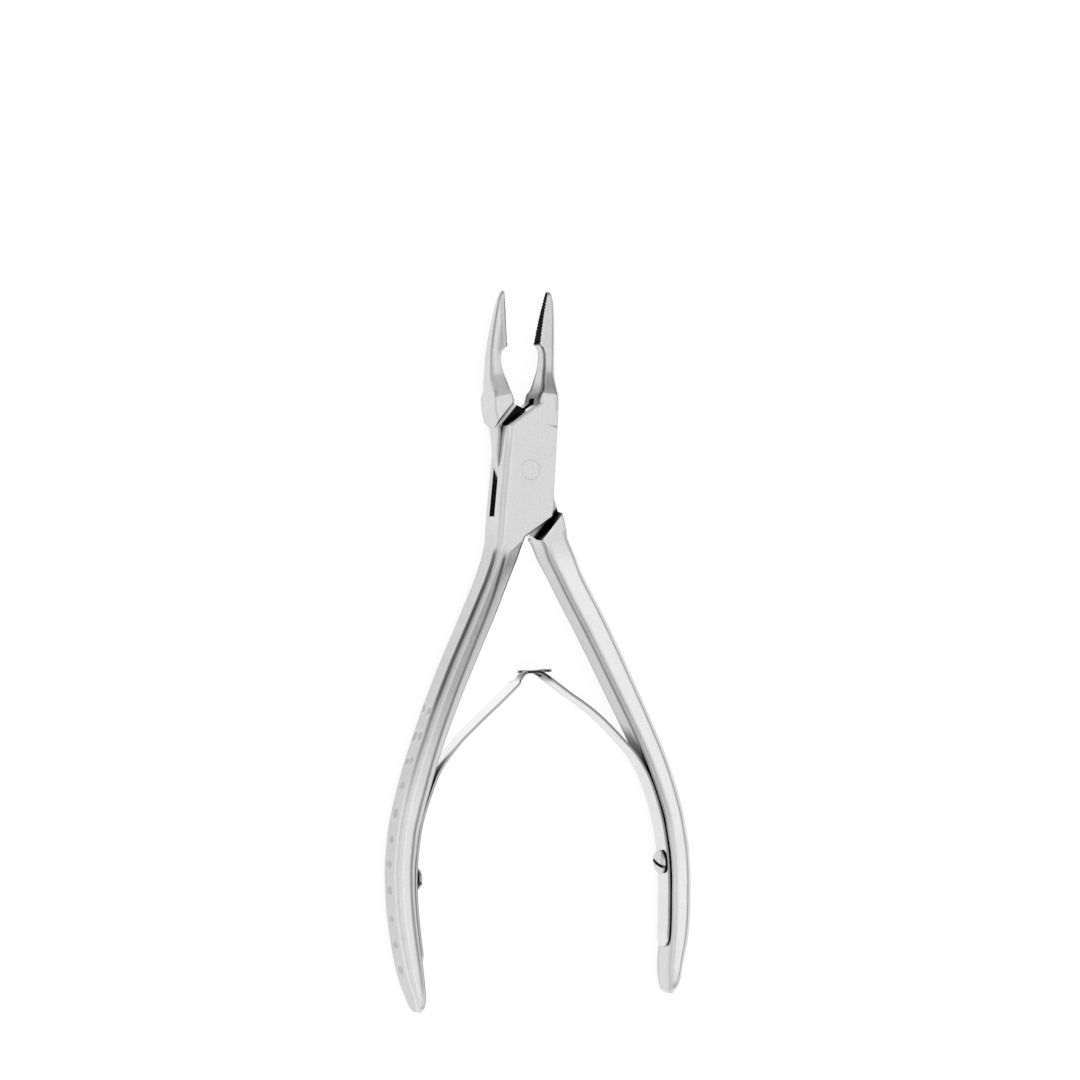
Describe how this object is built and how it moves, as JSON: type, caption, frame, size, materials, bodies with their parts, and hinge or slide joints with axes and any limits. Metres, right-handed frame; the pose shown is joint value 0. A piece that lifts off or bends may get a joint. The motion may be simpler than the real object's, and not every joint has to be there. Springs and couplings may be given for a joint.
{
  "type": "grozing pliers",
  "caption": "Slim spring-opened pliers with a box joint, narrow serrated jaws and long bowed handles held apart by interlocking leaf springs.",
  "frame": {"origin": "on the pivot axis at the underside of the box joint", "axes": "+Y towards the jaws along the line midway between the handles, +Z through the thickness along the pivot axis, +X towards the handle of the inner arm"},
  "size_m": [0.0653, 0.1426, 0.007],
  "materials": {
    "arm_steel": "satin, finely brushed",
    "pin_steel": "ground flush with the plates",
    "spring_steel": "polished",
    "screw_steel": "polished, slightly darker"
  },
  "bodies": {
    "female_side": {"female_arm": "arm_steel", "pivot_pin": "pin_steel", "left_spring_screw": "screw_steel"},
    "male_side": {"male_arm": "arm_steel", "right_spring_screw": "screw_steel"},
    "left_leaf": {"left_leaf_spring": "spring_steel"},
    "right_leaf": {"right_leaf_spring": "spring_steel"}
  },
  "joints": [
    {"name": "pivot", "type": "hinge", "parent": "female_side", "child": "male_side", "pos_m": [0, 0, 0.0035], "axis": [0, 0, 1], "range_deg": [-14.6, 3], "stiffness_Nm_per_rad": 2, "deforming": ["left_leaf_spring", "right_leaf_spring"]},
    {"name": "left_leaf_bend", "type": "hinge", "parent": "female_side", "child": "left_leaf", "pos_m": [-0.02259, -0.0614, 0.0035], "axis": [0, 0, 1], "range_deg": [-3, 13]},
    {"name": "right_leaf_bend", "type": "hinge", "parent": "male_side", "child": "right_leaf", "pos_m": [0.02382, -0.06113, 0.0035], "axis": [0, 0, 1], "range_deg": [-13.5, 3]}
  ],
  "couplings": [
    {"joint": "left_leaf_bend", "follows": "pivot", "ratio": -0.79},
    {"joint": "right_leaf_bend", "follows": "pivot", "ratio": 0.83}
  ]
}
